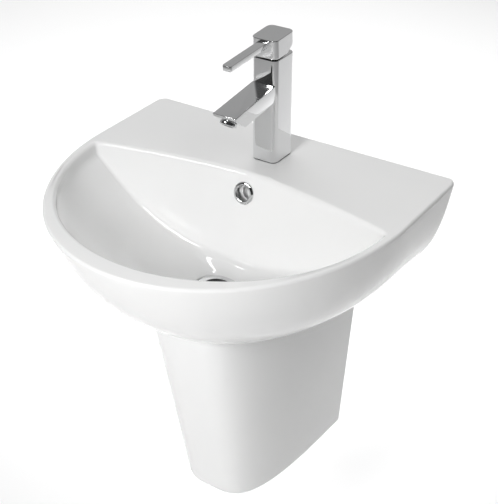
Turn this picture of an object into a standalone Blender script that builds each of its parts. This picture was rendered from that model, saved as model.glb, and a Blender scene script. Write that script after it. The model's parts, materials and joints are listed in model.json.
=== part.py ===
"""Wall-hung D-shaped basin on a semi-pedestal, with its mixer tap, click waste and bottle trap.

Frame: the wall is the plane y = 0 and the room is on its -Y side. +X is right, +Z is up. The origin
is on the wall, midway between the two hanger bolts. Lengths are in metres.
"""
import math

import bmesh
import bpy
from mathutils import Matrix, Vector

# ---- driving dimensions ---------------------------------------------------------------------------
GAP = 0.0003                 # clearance between pieces that touch
ROUND = 20                   # sides of a round piece
RIM_Z = 0.090                # rim of the basin above the hanger bolts

BASIN_HALF = 0.2515          # half the width of the basin at its rim
BASIN_DEEP = 0.448           # wall to the front of the rim
BODY_H = 0.175               # height of the curved outer body
BODY_CUT = 0.985             # part of that height where the flat underside lies
SIDE_RUN = 0.150             # straight side, wall to the start of the front curve
CORNER_R = 0.016             # back corners in plan
RIM_R = 0.005                # outer edge of the rim
EDGE_R = 0.006               # inner edge of the rim
BOWL_D = 0.144               # rim to the lowest edge of the bowl
DRAIN_Y = -0.220
DRAIN_R = 0.034              # recess round the waste
SEAT_D = 0.148               # rim to the floor of that recess
WALL_T = 0.013               # ceramic wall behind the bowl

TAP_Y = -0.077               # centre of the tap hole
TAP_HOLE_R = 0.0175
TAP_HALF_W = 0.020           # tap column
TAP_HALF_D = 0.024
TAP_TOP = 0.153              # top of the tap body above the rim
CAP_TOP = 0.182              # top of the handle cap above the rim
PIVOT_H = 0.157              # lift axis above the rim
HANDLE_DROOP = math.radians(3)
SPOUT_REACH = 0.118          # tap centre to the spout tip
LEVER_REACH = 0.111          # lift axis to the lever tip

OVERFLOW_D = 0.0285          # depth of the overflow hole below the rim
OVERFLOW_Y = -0.1484

BOLT_X = 0.140               # hanger bolts each side of the centre
PED_TOP_W = 0.1114           # semi-pedestal half width at the wall, at its top and its bottom
PED_BOT_W = 0.0863
PED_TOP_Y = 0.3081           # and its reach from the wall
PED_BOT_Y = 0.2402
PED_TOP_D = 0.165            # depths below the rim where those four hold
PED_BOT_D = 0.511
PED_WALL = 0.012
PED_SCREW_X = 0.076
PED_SCREW_D = 0.325

TRAP_R = 0.028
OUTLET_D = 0.262             # trap outlet pipe below the rim
TRAP_JOIN = 0.297            # lower end of the trap's body, inside its cup
VALVE_X = 0.050
VALVE_D = 0.405              # angle valves below the rim

CERAMIC = ("glazed_ceramic", (0.86, 0.86, 0.85), 0.08, 0.0)
CHROME = ("chrome_plate", (0.75, 0.76, 0.77), 0.08, 1.0)
BRASS = ("raw_brass", (0.72, 0.55, 0.28), 0.30, 1.0)
COPPER = ("copper_pipe", (0.72, 0.40, 0.26), 0.28, 1.0)
STEEL = ("zinc_steel", (0.62, 0.63, 0.64), 0.32, 1.0)
RUBBER = ("black_rubber", (0.03, 0.03, 0.03), 0.70, 0.0)
WHITE_PLASTIC = ("white_plastic", (0.82, 0.82, 0.80), 0.35, 0.0)
GREY_PLASTIC = ("grey_plastic", (0.30, 0.31, 0.33), 0.45, 0.0)
DISC_CERAMIC = ("alumina_disc", (0.88, 0.86, 0.82), 0.25, 0.0)
RED_BLUE = ("indicator_plastic", (0.20, 0.20, 0.55), 0.30, 0.0)


def depth(below_rim):
    """Height of a point that lies this far below the rim."""
    return RIM_Z - below_rim


# ---- scene and materials --------------------------------------------------------------------------
for old in list(bpy.data.objects):
    bpy.data.objects.remove(old, do_unlink=True)


def material(finish):
    name, colour, roughness, metallic = finish
    found = bpy.data.materials.get(name)
    if found:
        return found
    made = bpy.data.materials.new(name)
    made.use_nodes = True
    shader = made.node_tree.nodes["Principled BSDF"]
    shader.inputs["Base Color"].default_value = (*colour, 1.0)
    shader.inputs["Roughness"].default_value = roughness
    shader.inputs["Metallic"].default_value = metallic
    return made


def add_object(name, mesh, finish, at=(0, 0, 0), turn=None, smooth=35):
    """Put a mesh in the scene as a named piece. turn is a 3x3 matrix, at its origin in the world."""
    thing = bpy.data.objects.new(name, mesh)
    bpy.context.scene.collection.objects.link(thing)
    if finish:
        mesh.materials.append(material(finish))
    mesh.shade_smooth()
    mesh.set_sharp_from_angle(angle=math.radians(smooth))
    place = Matrix.Translation(at)
    if turn is not None:
        place = place @ turn.to_4x4()
    thing.matrix_world = place
    return thing


def finish_mesh(name, shape):
    """Close a bmesh's normals outwards and turn it into a mesh."""
    bmesh.ops.recalc_face_normals(shape, faces=shape.faces)
    mesh = bpy.data.meshes.new(name)
    shape.to_mesh(mesh)
    shape.free()
    return mesh


def add_loft(shape, rings, ring_loop=False, caps=True):
    """Skin a list of equal rings of points. ring_loop joins the last ring to the first."""
    made = [[shape.verts.new(point) for point in ring] for ring in rings]
    count = len(rings[0])
    pairs = list(zip(made, made[1:]))
    if ring_loop:
        pairs.append((made[-1], made[0]))
    for lower, upper in pairs:
        for i in range(count):
            j = (i + 1) % count
            shape.faces.new((lower[i], lower[j], upper[j], upper[i]))
    if caps and not ring_loop:
        shape.faces.new(made[0])
        shape.faces.new(made[-1])


def circle(radius, count, height):
    steps = [2 * math.pi * i / count for i in range(count)]
    return [(radius * math.cos(a), radius * math.sin(a), height) for a in steps]


def hexagon(across, count, height):
    """A hexagon read at even angles, so that it can be skinned to a circle of as many points."""
    points = []
    for i in range(count):
        angle = 2 * math.pi * i / count
        off = (angle + math.pi / 6) % (math.pi / 3) - math.pi / 6
        reach = across / 2 / math.cos(off)
        points.append((reach * math.cos(angle), reach * math.sin(angle), height))
    return points


def rounded_box_ring(half_x, half_y, radius, height, arc=4):
    """A rectangle with round corners, in plan."""
    points = []
    for quarter, (sx, sy) in enumerate(((1, 1), (-1, 1), (-1, -1), (1, -1))):
        for k in range(arc + 1):
            angle = math.pi / 2 * (quarter + k / arc)
            x = sx * (half_x - radius) + radius * math.cos(angle)
            y = sy * (half_y - radius) + radius * math.sin(angle)
            points.append((x, y, height))
    return points


def turned(name, profile, finish, at, turn=None, count=ROUND):
    """A solid turned about its own Z. profile is a list of (radius, height): a closed outline clear of
    the axis makes a ring, and one whose first and last radius are 0 makes a solid."""
    shape = bmesh.new()
    if profile[0][0] == 0:
        inner = [circle(r, count, z) for r, z in profile[1:-1]]
        add_loft(shape, inner)
    else:
        add_loft(shape, [circle(r, count, z) for r, z in profile], ring_loop=True)
    return add_object(name, finish_mesh(name, shape), finish, at, turn)


def nut(name, across, bore, height, finish, at, turn=None, count=12):
    """A hexagon nut with a plain round bore, its lower face at the origin."""
    shape = bmesh.new()
    rings = [hexagon(across, count, 0.0), hexagon(across, count, height)]
    rings += [circle(bore, count, height), circle(bore, count, 0.0)]
    add_loft(shape, rings, ring_loop=True)
    add_object(name, finish_mesh(name, shape), finish, at, turn)


def cutter(name, mesh, at=(0, 0, 0), turn=None):
    """A hidden object that only cuts others."""
    made = add_object("cut_" + name, mesh, None, at, turn)
    made.hide_render = True
    made.display_type = "WIRE"
    return made


def round_cutter(name, radius, start, end, count=ROUND):
    """A cylinder between two points."""
    start = Vector(start)
    run = Vector(end) - start
    shape = bmesh.new()
    add_loft(shape, [circle(radius, count, 0.0), circle(radius, count, run.length)])
    turn = run.to_track_quat("Z", "Y").to_matrix()
    return cutter(name, finish_mesh(name, shape), start, turn)


def box_mesh(name, low, high):
    shape = bmesh.new()
    corners = [(low[0], low[1]), (high[0], low[1]), (high[0], high[1]), (low[0], high[1])]
    add_loft(shape, [[(x, y, z) for x, y in corners] for z in (low[2], high[2])])
    return finish_mesh(name, shape)


def extrude_x(name, outline, half_width):
    """A side outline of (y, z) points drawn out along X, centred on x = 0."""
    shape = bmesh.new()
    add_loft(shape, [[(x, y, z) for y, z in outline] for x in (-half_width, half_width)])
    return finish_mesh(name, shape)


def combine(target, other, operation="DIFFERENCE"):
    step = target.modifiers.new(other.name, "BOOLEAN")
    step.operation = operation
    step.object = other
    step.solver = "EXACT"


def bevel(target, width, segments=2, angle=40):
    step = target.modifiers.new("edges", "BEVEL")
    step.width = width
    step.segments = segments
    step.limit_method = "ANGLE"
    step.angle_limit = math.radians(angle)
    step.harden_normals = False


FACE_FRONT = Matrix.Rotation(math.radians(90), 3, "X")      # local +Z to world -Y


# ---- basin: outer body ----------------------------------------------------------------------------
def body_inset(t, run, bulge, power):
    """How far the outer body has drawn in at part t of its height."""
    return run * BODY_H * t + bulge * (1 - (1 - t ** power) ** (1 / power))


def body_plan(t):
    """Half width at the wall and at the end of the straight side, side run, front reach, roundness."""
    half = BASIN_HALF - body_inset(t, 0.1805, 0.1481, 2.855)
    side = SIDE_RUN - 0.0983 * t
    reach = BASIN_DEEP - side - body_inset(t, 0.4123, 0.124, 2.378)
    return half + 0.0118 * t * t, half, side, reach, 2 + 0.322 * t


BACK_STEPS, CORNER_STEPS, SIDE_STEPS, FRONT_STEPS = 4, 2, 3, 24


def body_ring(t, inset, height):
    """The outer outline at part t of the body's height, drawn in by inset, from the right corner round
    the front to the left corner and back along the wall."""
    wall_half, half, side, reach, roundness = body_plan(t)
    wall_half -= inset
    half -= inset
    reach -= inset
    right = []
    for k in range(CORNER_STEPS):
        angle = math.pi / 2 * (1 - k / CORNER_STEPS)
        right.append((wall_half - CORNER_R * (1 - math.cos(angle)), -CORNER_R * (1 - math.sin(angle))))
    for k in range(SIDE_STEPS):
        y = -CORNER_R - (side - CORNER_R) * k / SIDE_STEPS
        right.append((wall_half + (half - wall_half) * -y / side, y))
    front = []
    for k in range(FRONT_STEPS + 1):
        angle = math.pi * k / FRONT_STEPS
        across = math.copysign(abs(math.cos(angle)) ** (2 / roundness), math.cos(angle))
        front.append((half * across, -side - reach * math.sin(angle) ** (2 / roundness)))
    left = [(-x, y) for x, y in reversed(right)]
    back = []
    for k in range(1, BACK_STEPS):
        back.append(((wall_half - CORNER_R) * (2 * k / BACK_STEPS - 1), 0.0))
    return [(x, min(y, -inset), height) for x, y in right + front + left + back]


# ---- basin: bowl ----------------------------------------------------------------------------------
# Level outlines of the bowl: depth below the rim, half width, centre line from the wall, reach behind it.
BOWL_LEVELS = (
    (0.000, 0.2340, -0.1760, 0.0950),
    (0.017, 0.2336, -0.1765, 0.0880),
    (0.035, 0.2215, -0.1775, 0.0820),
    (0.051, 0.2080, -0.1795, 0.0770),
    (0.067, 0.1918, -0.1825, 0.0730),
    (0.083, 0.1735, -0.1870, 0.0690),
    (0.100, 0.1480, -0.1935, 0.0640),
    (0.110, 0.1285, -0.1990, 0.0600),
    (0.119, 0.1060, -0.2055, 0.0525),
    (0.127, 0.0830, -0.2115, 0.0360),
    (0.135, 0.0580, -0.2165, 0.0345),
    (0.141, 0.0390, -0.2190, 0.0341),
    (BOWL_D, DRAIN_R, DRAIN_Y, DRAIN_R),
)
MOUTH_HALF = BOWL_LEVELS[0][1]
MOUTH_FRONT = 0.241          # mouth's centre line to its front
CREASE_LIMIT = math.radians(62)


def slope_y(x, below):
    """The back slope of the bowl, at a depth below the rim."""
    bow = 0.0435 * (1 - 9.33 * below)
    return -(0.1395 + 0.30 * below + bow * (abs(x) / 0.24) ** 1.5)


def bowl_level(below):
    """Half width, centre line, reach behind it and reach ahead of it, between two stated levels."""
    upper = BOWL_LEVELS[0]
    lower = BOWL_LEVELS[-1]
    for first, second in zip(BOWL_LEVELS, BOWL_LEVELS[1:]):
        if first[0] <= below <= second[0]:
            upper, lower = first, second
    part = (below - upper[0]) / (lower[0] - upper[0])
    half, centre, back = (a + (b - a) * part for a, b in zip(upper[1:], lower[1:]))
    ahead = DRAIN_R + (MOUTH_FRONT - DRAIN_R) * (half - DRAIN_R) / (MOUTH_HALF - DRAIN_R)
    return half, centre, back, ahead


def wall_and_slope(angle, below):
    """Distances of the bowl's front wall and its back slope from the drain's line, in one direction."""
    half, centre, back, ahead = bowl_level(below)
    way = (math.cos(angle), math.sin(angle))

    def in_front_bowl(r):
        x = r * way[0]
        y = DRAIN_Y + r * way[1] - centre
        return (x / half) ** 2 + (y / (ahead if y < 0 else back)) ** 2 < 1

    def ahead_of_slope(r):
        return DRAIN_Y + r * way[1] < slope_y(r * way[0], below)

    reach = [0.0, 0.0]
    for which, inside in enumerate((in_front_bowl, ahead_of_slope)):
        low, high = 0.0, 0.6
        for _ in range(30):
            middle = (low + high) / 2
            if inside(middle):
                low = middle
            else:
                high = middle
        reach[which] = low
    return reach


def bowl_edge(angle, below):
    """Distance of the bowl's surface from the line through the drain, in one direction, at one depth."""
    wall, slope = wall_and_slope(angle, below)
    blend = 0.004 + 0.08 * below
    near = max(blend - abs(wall - slope), 0) / blend
    return min(wall, slope) - near * near * blend / 4


def crease_angle(below):
    """Direction in which the front wall meets the back slope, from straight across, at one depth."""
    low, high = 0.0, CREASE_LIMIT
    for _ in range(20):
        middle = (low + high) / 2
        wall, slope = wall_and_slope(middle, below)
        if wall < slope:
            low = middle
        else:
            high = middle
    return low


def follow_crease(angles, below, mouth_crease):
    """Those directions, shifted so that the one on the crease at the mouth is on it at this depth."""
    crease = crease_angle(below)
    made = []
    for angle in angles:
        from_front = math.remainder(angle + math.pi / 2, 2 * math.pi)
        size = abs(from_front)
        mouth_turn = math.pi / 2 + mouth_crease
        turn = math.pi / 2 + crease
        if size < mouth_turn:
            size = size * turn / mouth_turn
        else:
            size = turn + (size - mouth_turn) * (math.pi - turn) / (math.pi - mouth_turn)
        made.append(math.copysign(size, from_front) - math.pi / 2)
    return made


def basin_mesh():
    """Outer skin from the flat underside up to the rim, over it and down the bowl to the drain."""
    rings = []
    for t in (BODY_CUT, 0.96, 0.91, 0.82, 0.70, 0.55, 0.38, 0.20):
        rings.append(body_ring(t, 0.0, depth(BODY_H * t)))
    for k in range(3):
        angle = math.pi / 4 * k
        drop = RIM_R * (1 - math.sin(angle))
        rings.append(body_ring(drop / BODY_H, RIM_R * (1 - math.cos(angle)), depth(drop)))
    crest = rings[-1]
    angles = [math.atan2(y - DRAIN_Y, x) for x, y, _ in crest]
    mouth_crease = crease_angle(0.0)
    mouth_crease = min((a for a in angles if 0 < a < CREASE_LIMIT), key=lambda a: abs(a - mouth_crease))
    for k in range(3):
        lean = math.pi / 4 * k
        drop = EDGE_R * (1 - math.cos(lean))
        flare = EDGE_R * (1 - math.sin(lean))
        rings.append([bowl_point(a, drop, flare) for a in follow_crease(angles, drop, mouth_crease)])
    for below in (0.022, 0.035, 0.051, 0.067, 0.083, 0.100, 0.110, 0.119, 0.127, 0.135, 0.141, BOWL_D):
        rings.append([bowl_point(a, below, 0.0) for a in follow_crease(angles, below, mouth_crease)])
    seat = DRAIN_R - 0.001
    floor_angles = follow_crease(angles, BOWL_D, mouth_crease)
    floor = [(seat * math.cos(a), DRAIN_Y + seat * math.sin(a), depth(SEAT_D)) for a in floor_angles]
    rings.append(floor)
    shape = bmesh.new()
    add_loft(shape, rings)
    return finish_mesh("basin", shape)


def bowl_point(angle, below, flare):
    reach = bowl_edge(angle, below) + flare
    return (reach * math.cos(angle), DRAIN_Y + reach * math.sin(angle), depth(below))


def hollow_mesh(sign):
    """One of the two hollows behind the bowl, open below, either side of the overflow duct."""
    rings = []
    for below in (WALL_T + 0.002, 0.045, 0.080, 0.115, 0.140, 0.190):
        t = min(below / BODY_H, BODY_CUT)
        wall_half, half = body_plan(t)[:2]
        outer = min(wall_half, half) - WALL_T - 0.012 * t
        inner = 0.026
        points = [(inner, -WALL_T), (outer, -WALL_T)]
        for x in (outer, (outer + inner) / 2, inner):
            room = slope_y(x, min(below, 0.120)) + WALL_T + 0.004
            points.append((x, min(room, -WALL_T - 0.02)))
        rings.append([(sign * x, y, depth(below)) for x, y in points])
    shape = bmesh.new()
    add_loft(shape, rings)
    return finish_mesh("hollow", shape)


def tap_chamber_mesh():
    """The hollow between those two, behind the overflow duct, where the tap's fixing goes."""
    return box_mesh("tap_chamber", (-0.0262, -0.103, depth(0.190)), (0.0262, -WALL_T, depth(WALL_T + 0.002)))


OVERFLOW_TILT = math.atan(0.30)
OVERFLOW_AT = Vector((0, OVERFLOW_Y, depth(OVERFLOW_D)))
OVERFLOW_OUT = Vector((0, -math.cos(OVERFLOW_TILT), math.sin(OVERFLOW_TILT)))
DUCT_HALF = 0.011


def build_basin():
    basin = add_object("basin", basin_mesh(), CERAMIC)
    for side, sign in (("right", 1), ("left", -1)):
        combine(basin, cutter("hollow_" + side, hollow_mesh(sign)))
    combine(basin, cutter("tap_chamber", tap_chamber_mesh()))
    duct = [(-0.130, depth(0.018)), (-0.140, depth(0.048)), (-0.163, depth(0.150)), (-0.215, depth(0.1575))]
    duct += [(-0.215, depth(0.166)), (-0.153, depth(0.164)), (-0.128, depth(0.050)), (-0.118, depth(0.018))]
    combine(basin, cutter("duct", extrude_x("duct", duct, DUCT_HALF)))
    hole_end = OVERFLOW_AT - OVERFLOW_OUT * 0.020
    combine(basin, round_cutter("overflow", 0.0122, OVERFLOW_AT + OVERFLOW_OUT * 0.02, hole_end))
    hole = round_cutter("waste_hole", 0.0225, (0, DRAIN_Y, depth(0.20)), (0, DRAIN_Y, depth(0.12)), ROUND)
    combine(basin, hole)
    hole = round_cutter("tap_hole", TAP_HOLE_R, (0, TAP_Y, depth(0.05)), (0, TAP_Y, depth(-0.02)))
    combine(basin, hole)
    for side in (-1, 1):
        name = "bolt_hole_left" if side < 0 else "bolt_hole_right"
        combine(basin, round_cutter(name, 0.008, (side * BOLT_X, 0.02, 0), (side * BOLT_X, -0.03, 0), 16))


# ---- semi-pedestal --------------------------------------------------------------------------------
def under_body(x, y, low=0.5):
    """Height of the basin's underside over a point in plan."""
    high = BODY_CUT
    for _ in range(30):
        t = (low + high) / 2
        _, half, side, reach, roundness = body_plan(t)
        if -y < side:
            level = abs(x) / half
        else:
            level = (abs(x) / half) ** roundness + ((-y - side) / reach) ** roundness
        if level < 1:
            low = t
        else:
            high = t
    return depth(BODY_H * low)


PED_STEPS = 14
SCRIBE = 0.0020              # joint between the basin and the semi-pedestal
PED_ROLL = 0.018             # rounding of the lower edge


def pedestal_ring(below, inset, scribed=False, behind=0.0):
    """Plan of the shroud, from the wall round the front and back. behind carries it past the wall."""
    part = (below - PED_TOP_D) / (PED_BOT_D - PED_TOP_D)
    half = PED_TOP_W + (PED_BOT_W - PED_TOP_W) * part - inset
    reach = PED_TOP_Y + (PED_BOT_Y - PED_TOP_Y) * part - inset
    right = [(half, behind)] if behind else []
    for k in range(PED_STEPS + 1):
        far = math.sin(math.pi / 2 * k / PED_STEPS)
        narrow = max(1 - far ** 3.52, 0.0) ** (1 / 3.52)
        right.append((half * (1 - 0.1137 * far) * narrow, -reach * far))
    right[-1] = (0.0, -reach)
    whole = right + [(-x, y) for x, y in reversed(right[:-1])]
    return [(x, y, under_body(x, y) - SCRIBE if scribed else depth(below)) for x, y in whole]


def build_pedestal():
    """Shroud open at the back and the top, with two lugs for its wall screws."""
    rings = []
    for k in range(4):
        angle = math.pi / 6 * k
        inset = PED_ROLL * (1 - math.sin(angle))
        rings.append(pedestal_ring(PED_BOT_D - PED_ROLL * (1 - math.cos(angle)), inset))
    for below in (0.38, 0.26):
        rings.append(pedestal_ring(below, 0.0))
    rings.append(pedestal_ring(PED_TOP_D, 0.0, scribed=True))
    rings.append(pedestal_ring(PED_TOP_D, PED_WALL + 0.003, scribed=True))
    shape = bmesh.new()
    add_loft(shape, rings)
    pedestal = add_object("semi_pedestal", finish_mesh("semi_pedestal", shape), CERAMIC)
    inner = [pedestal_ring(PED_BOT_D - PED_WALL, PED_WALL + 0.012, behind=0.02)]
    for below in (PED_BOT_D - 0.026, 0.38, 0.26, 0.10):
        inner.append(pedestal_ring(below, PED_WALL, behind=0.02))
    shape = bmesh.new()
    add_loft(shape, inner)
    combine(pedestal, cutter("shroud_inside", finish_mesh("shroud_inside", shape)))
    for name, side in (("left", -1), ("right", 1)):
        x = sorted((side * (PED_SCREW_X - 0.013), side * (PED_SCREW_X + 0.016)))
        low = (x[0], -PED_WALL, depth(PED_SCREW_D + 0.018))
        high = (x[1], 0.0, depth(PED_SCREW_D - 0.018))
        combine(pedestal, cutter("lug_" + name, box_mesh("lug", low, high)), "UNION")
        centre = (side * PED_SCREW_X, 0.02, depth(PED_SCREW_D))
        hole = round_cutter("screw_hole_" + name, 0.0036, centre, (centre[0], -0.03, centre[2]), 16)
        combine(pedestal, hole)


# ---- overflow ring --------------------------------------------------------------------------------
def build_overflow_ring():
    """Flanged sleeve pushed into the overflow hole, its flange 0.3 mm off the back slope."""
    turn = OVERFLOW_OUT.to_track_quat("Z", "Y").to_matrix()
    profile = [(0.0105, 0.0020), (0.0118, 0.0034), (0.0150, 0.0030), (0.0160, 0.0016), (0.0160, 0.0006)]
    profile += [(0.0118, 0.0006), (0.0118, -0.0140), (0.0105, -0.0140)]
    turned("overflow_ring", profile[::-1], CHROME, OVERFLOW_AT, turn, count=ROUND)


# ---- waste ----------------------------------------------------------------------------------------
def ring_profile(inner, outer, top, bottom):
    """A plain ring between two depths below the rim, for pieces placed at the rim's height."""
    return [(inner, -top), (inner, -bottom), (outer, -bottom), (outer, -top)]


def at_drain():
    return (0.0, DRAIN_Y, RIM_Z)


WASTE_R = 0.0208             # threaded tail of the waste
WASTE_BORE = 0.0165
WASTE_END = 0.212
FLANGE_TOP = BOWL_D
PLUG_SHELF = 0.1560          # ledge inside the waste that the plug closes on
PLUG_UNDER = 0.1540          # underside of the plug


def build_waste():
    seal = ring_profile(0.0226, 0.0300, SEAT_D - 0.0015, SEAT_D - GAP)
    turned("waste_flange_seal", seal, RUBBER, at_drain(), count=ROUND)
    under = SEAT_D - 0.0018
    body = [(0.0215, -FLANGE_TOP), (0.0290, -FLANGE_TOP), (0.0315, -FLANGE_TOP - 0.0012), (0.0315, -under)]
    body += [(WASTE_R, -under), (WASTE_R, -WASTE_END), (WASTE_BORE, -WASTE_END), (WASTE_BORE, -PLUG_SHELF)]
    body += [(0.0193, -PLUG_SHELF), (0.0193, -0.1480)]
    waste = turned("waste_body", body[::-1], CHROME, at_drain(), count=ROUND)
    for name, size in (("across", (0.03, 0.0055)), ("along", (0.0055, 0.03))):
        low = (-size[0], DRAIN_Y - size[1], depth(0.1655))
        high = (size[0], DRAIN_Y + size[1], depth(0.1575))
        combine(waste, cutter("waste_slot_" + name, box_mesh("slot", low, high)))
    underside = BODY_H * BODY_CUT
    cone = ring_profile(WASTE_R + GAP, 0.0320, underside + GAP, underside + 0.0040)
    turned("waste_cone_seal", cone, RUBBER, at_drain(), count=ROUND)
    place = (0.0, DRAIN_Y, depth(underside + 0.0123))
    nut("waste_backnut", 0.058, WASTE_R + GAP, 0.008, BRASS, place, count=24)
    build_click_plug()


def build_click_plug():
    """Plug with its seal and stem, in a barrel that four spokes and a ring hold in the waste."""
    dome = [(0, -0.1505), (0.0060, -0.1506), (0.0120, -0.1510), (0.0165, -0.1518), (0.0183, -0.1526)]
    dome += [(0.0185, -0.1534), (0.0181, -PLUG_UNDER), (0, -PLUG_UNDER)]
    turned("waste_plug", dome, RUBBER, at_drain())
    seal = ring_profile(0.0060, 0.0178, PLUG_UNDER + GAP, PLUG_SHELF - GAP)
    turned("waste_plug_seal", seal, RUBBER, at_drain())
    top = PLUG_UNDER + GAP
    stem = [(0, -top), (0.0045, -top), (0.0045, -0.1700), (0.0024, -0.1700), (0.0024, -0.1830)]
    turned("waste_plug_stem", stem + [(0, -0.1830)], BRASS, at_drain(), count=16)
    barrel = [(0.0075, -0.1930), (0.0075, -0.1600), (0.0050, -0.1600), (0.0050, -0.1895)]
    shape = bmesh.new()
    add_loft(shape, [circle(r, 16, z) for r, z in barrel])
    housing = add_object("waste_click_housing", finish_mesh("waste_click_housing", shape), BRASS, at_drain())
    ring = ring_profile(0.0145, 0.0161, 0.1860, 0.1900)
    shape = bmesh.new()
    add_loft(shape, [circle(r, ROUND, z) for r, z in ring], ring_loop=True)
    combine(housing, cutter("spoke_ring", finish_mesh("spoke_ring", shape), at_drain()), "UNION")
    for k in range(4):
        spoke = box_mesh("spoke", (0.0070, -0.0012, -0.1895), (0.0150, 0.0012, -0.1865))
        turn = Matrix.Rotation(math.pi / 2 * k, 3, "Z")
        combine(housing, cutter("spoke_%d" % k, spoke, at_drain(), turn), "UNION")
    coil("waste_click_spring", (0.0, DRAIN_Y), 0.0036, 0.00045, depth(0.1887), depth(0.1708), 5)


def coil(name, centre, radius, wire, low, high, turns):
    """A round-wire compression spring standing on Z."""
    per_turn = 8
    sides = 4
    steps = turns * per_turn
    rings = []
    for i in range(steps + 1):
        angle = 2 * math.pi * i / per_turn
        height = low + wire + (high - low - 2 * wire) * i / steps
        out = Vector((math.cos(angle), math.sin(angle), 0))
        middle = Vector((centre[0], centre[1], height)) + out * radius
        ring = []
        for k in range(sides):
            a = 2 * math.pi * k / sides
            ring.append(middle + (out * math.cos(a) + Vector((0, 0, 1)) * math.sin(a)) * wire)
        rings.append(ring)
    shape = bmesh.new()
    add_loft(shape, rings)
    add_object(name, finish_mesh(name, shape), STEEL)


# ---- bottle trap ----------------------------------------------------------------------------------
def build_trap():
    neck = WASTE_R + 0.0005
    nut_top = [(WASTE_R + GAP, -0.1920), (0.0290, -0.1920), (0.0295, -0.1940), (0.0295, -0.2120)]
    nut_top += [(0.0258, -0.2120), (0.0258, -0.1970), (WASTE_R + GAP, -0.1970)]
    turned("trap_inlet_nut", nut_top[::-1], CHROME, at_drain())
    turned("trap_inlet_seal", ring_profile(WASTE_R + GAP, 0.0250, 0.1973, 0.2013), RUBBER, at_drain())
    inside = TRAP_R - 0.0010
    body = [(0.0185, -0.2150), (0.0185, -0.2190), (inside, -0.2250), (inside, -TRAP_JOIN)]
    body += [(0.0300, -TRAP_JOIN), (0.0300, -0.2220), (0.0254, -0.2160), (0.0254, -0.2016)]
    body += [(neck, -0.2016), (neck, -0.2150)]
    trap = turned("trap_body", body, CHROME, at_drain(), count=ROUND)
    branch_start = (0.0, DRAIN_Y + 0.0280, depth(OUTLET_D))
    branch = round_cutter("trap_branch", 0.0195, branch_start, (0.0, -0.1600, depth(OUTLET_D)))
    combine(trap, branch, "UNION")
    bore_start = (0.0, DRAIN_Y + 0.012, depth(OUTLET_D))
    bore = round_cutter("trap_bore", 0.0165, bore_start, (0.0, -0.15, depth(OUTLET_D)))
    combine(trap, bore)
    dip = [(0.0125, -0.3050), (0.0150, -0.3050), (0.0150, -0.2145), (0.0208, -0.2145), (0.0208, -0.2125)]
    turned("trap_dip_tube", dip + [(0.0125, -0.2125)], WHITE_PLASTIC, at_drain())
    cup_top = TRAP_JOIN - 0.009
    shoulder = TRAP_JOIN + 0.004
    cup_end = TRAP_JOIN + 0.042
    shape = bmesh.new()
    cup = [(inside, -cup_end + 0.0035), (inside, -shoulder), (0.0303, -shoulder), (0.0303, -cup_top)]
    cup += [(0.0335, -cup_top), (0.0335, -shoulder - 0.004), (0.0310, -shoulder - 0.006)]
    cup += [(0.0310, -cup_end + 0.004), (0.0270, -cup_end)]
    add_loft(shape, [circle(r, ROUND, z) for r, z in cup])
    add_object("trap_cup", finish_mesh("trap_cup", shape), CHROME, at_drain())
    turned("trap_cup_seal", ring_profile(0.0273, 0.0299, TRAP_JOIN + GAP, shoulder - GAP), RUBBER, at_drain())
    wall_axis = (0.0, 0.0, depth(OUTLET_D))
    outlet = [(0.0163, 0.1500), (0.0163, 0.1545), (0.0198, 0.1545), (0.0198, 0.1720), (0.0230, 0.1720)]
    outlet += [(0.0230, 0.1500)]
    turned("trap_outlet_nut", outlet[::-1], CHROME, wall_axis, FACE_FRONT)
    seal = [(0.0163, 0.1548), (0.0163, 0.1595), (0.0195, 0.1595), (0.0195, 0.1548)]
    turned("trap_outlet_seal", seal[::-1], RUBBER, wall_axis, FACE_FRONT)
    pipe = [(0.0145, -0.0400), (0.0145, 0.1700), (0.0160, 0.1700), (0.0160, -0.0400)]
    turned("trap_outlet_pipe", pipe[::-1], CHROME, wall_axis, FACE_FRONT)
    build_escutcheon("trap_wall_flange", wall_axis, 0.0163, 0.0340)


def build_escutcheon(name, at, inner, outer):
    """A domed cover plate against the wall, round a pipe."""
    profile = [(inner, 0.0003), (inner, 0.0090), (inner + 0.0020, 0.0090), (outer - 0.004, 0.0045)]
    profile += [(outer, 0.0015), (outer, 0.0003)]
    turned(name, profile[::-1], CHROME, at, FACE_FRONT, count=ROUND)


# ---- supply: tails and angle valves ---------------------------------------------------------------
TAIL_R = 0.005
TAIL_X = 0.0085
TAIL_Y = -0.0815
TAIL_TOP = 0.0690            # top of the tails above the rim
VALVE_Y = -0.045


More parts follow.
